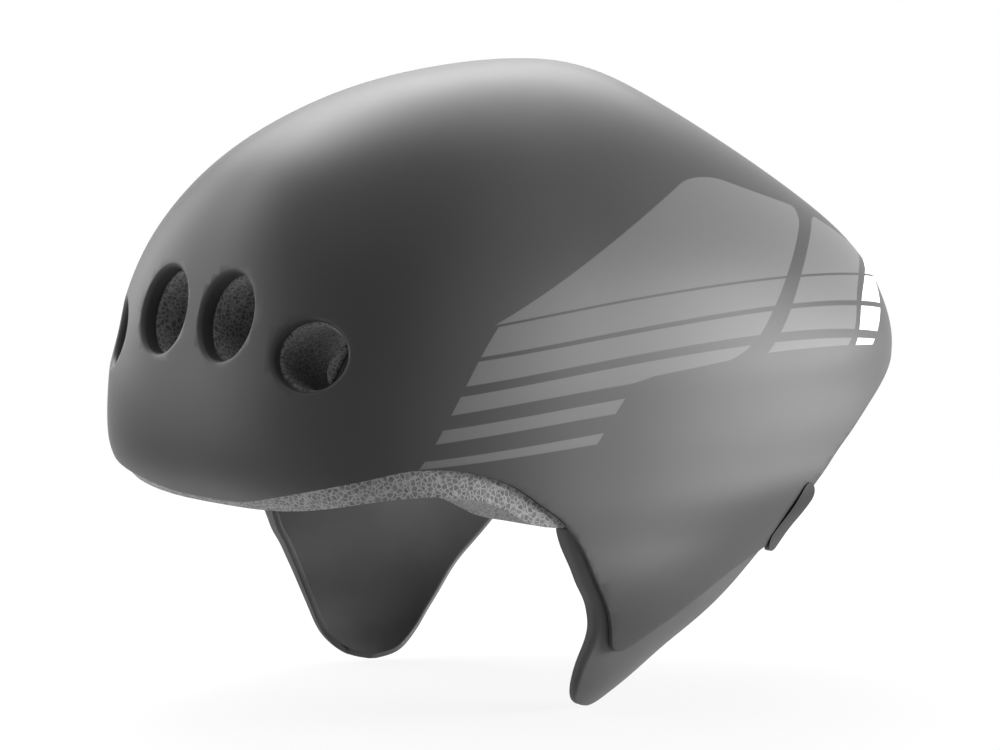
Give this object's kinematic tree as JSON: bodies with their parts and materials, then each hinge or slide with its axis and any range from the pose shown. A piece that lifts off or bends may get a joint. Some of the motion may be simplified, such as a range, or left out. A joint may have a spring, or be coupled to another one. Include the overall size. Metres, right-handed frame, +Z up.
{
  "type": "aero time trial helmet",
  "caption": "Long-tailed aero cycling helmet with a smooth shell, brow vents, rigid ear flaps, comfort pads and a dial fit system.",
  "frame": {"origin": "centre of the head opening, level with the brow rim, on the helmet's mid plane", "axes": "+X to the wearer's left, +Y rearward along the tail, +Z up"},
  "size_m": [0.22, 0.3467, 0.2505],
  "materials": {
    "shell_satin": "satin, low clear coat",
    "foam_beads": "moulded bead foam, matte",
    "flap_plastic": "satin",
    "gloss_tab": "gloss",
    "black_plastic": "fine matte",
    "pad_fabric": "soft brushed",
    "hook_fabric": "hook tape",
    "webbing": "woven",
    "nylon": "moulded nylon",
    "screw_steel": "blackened",
    "knob_rubber": "soft touch"
  },
  "bodies": {
    "helmet": {"outer_shell": "shell_satin", "foam_liner": "foam_beads", "left_ear_flap": "flap_plastic", "right_ear_flap": "flap_plastic", "flap_rivets": "black_plastic", "left_edge_tab": "gloss_tab", "right_edge_tab": "gloss_tab", "brow_pad": "pad_fabric", "front_crown_pad": "pad_fabric", "rear_crown_pad": "pad_fabric", "left_temple_pad": "pad_fabric", "right_temple_pad": "pad_fabric", "hook_discs": "hook_fabric", "strap_anchors": "black_plastic", "left_front_strap": "webbing", "right_front_strap": "webbing", "left_rear_strap": "webbing", "right_rear_strap": "webbing", "left_chin_strap": "webbing", "right_chin_strap": "webbing", "left_strap_divider": "black_plastic", "right_strap_divider": "black_plastic", "buckle_socket": "black_plastic", "slider_clip": "black_plastic", "left_temple_keeper": "black_plastic", "right_temple_keeper": "black_plastic"},
    "cradle": {"nape_cradle": "nylon", "dial_housing_front": "black_plastic", "dial_housing_back": "black_plastic", "housing_screws": "screw_steel", "ratchet_spring": "nylon", "left_cradle_pad": "pad_fabric", "right_cradle_pad": "pad_fabric"},
    "left_belt": {"left_fit_belt": "nylon"},
    "right_belt": {"right_fit_belt": "nylon"},
    "knob": {"dial_knob": "knob_rubber", "dial_pinion": "nylon"},
    "plug": {"buckle_plug": "black_plastic"}
  },
  "joints": [
    {"name": "cradle_height", "type": "slide", "parent": "helmet", "child": "cradle", "axis": [0, 0, 1], "range_m": [-0.006, 0.006]},
    {"name": "dial_turn", "type": "hinge", "parent": "cradle", "child": "knob", "pos_m": [0, 0.09748, -0.03897], "axis": [0, -0.9272, 0.3746], "range_deg": [0, 199]},
    {"name": "left_belt_draw", "type": "hinge", "parent": "cradle", "child": "left_belt", "pos_m": [0, 0.0233, -0.009], "axis": [0, 0.3746, 0.9272], "range_deg": [0, 11]},
    {"name": "right_belt_draw", "type": "hinge", "parent": "cradle", "child": "right_belt", "pos_m": [0, 0.0233, -0.009], "axis": [0, 0.3746, 0.9272], "range_deg": [-11, 0]},
    {"name": "plug_release", "type": "slide", "parent": "helmet", "child": "plug", "axis": [-1, 0, 0], "range_m": [0, 0.009]}
  ],
  "couplings": [
    {"joint": "left_belt_draw", "follows": "dial_turn", "ratio": 0.055021},
    {"joint": "right_belt_draw", "follows": "dial_turn", "ratio": -0.055021}
  ]
}
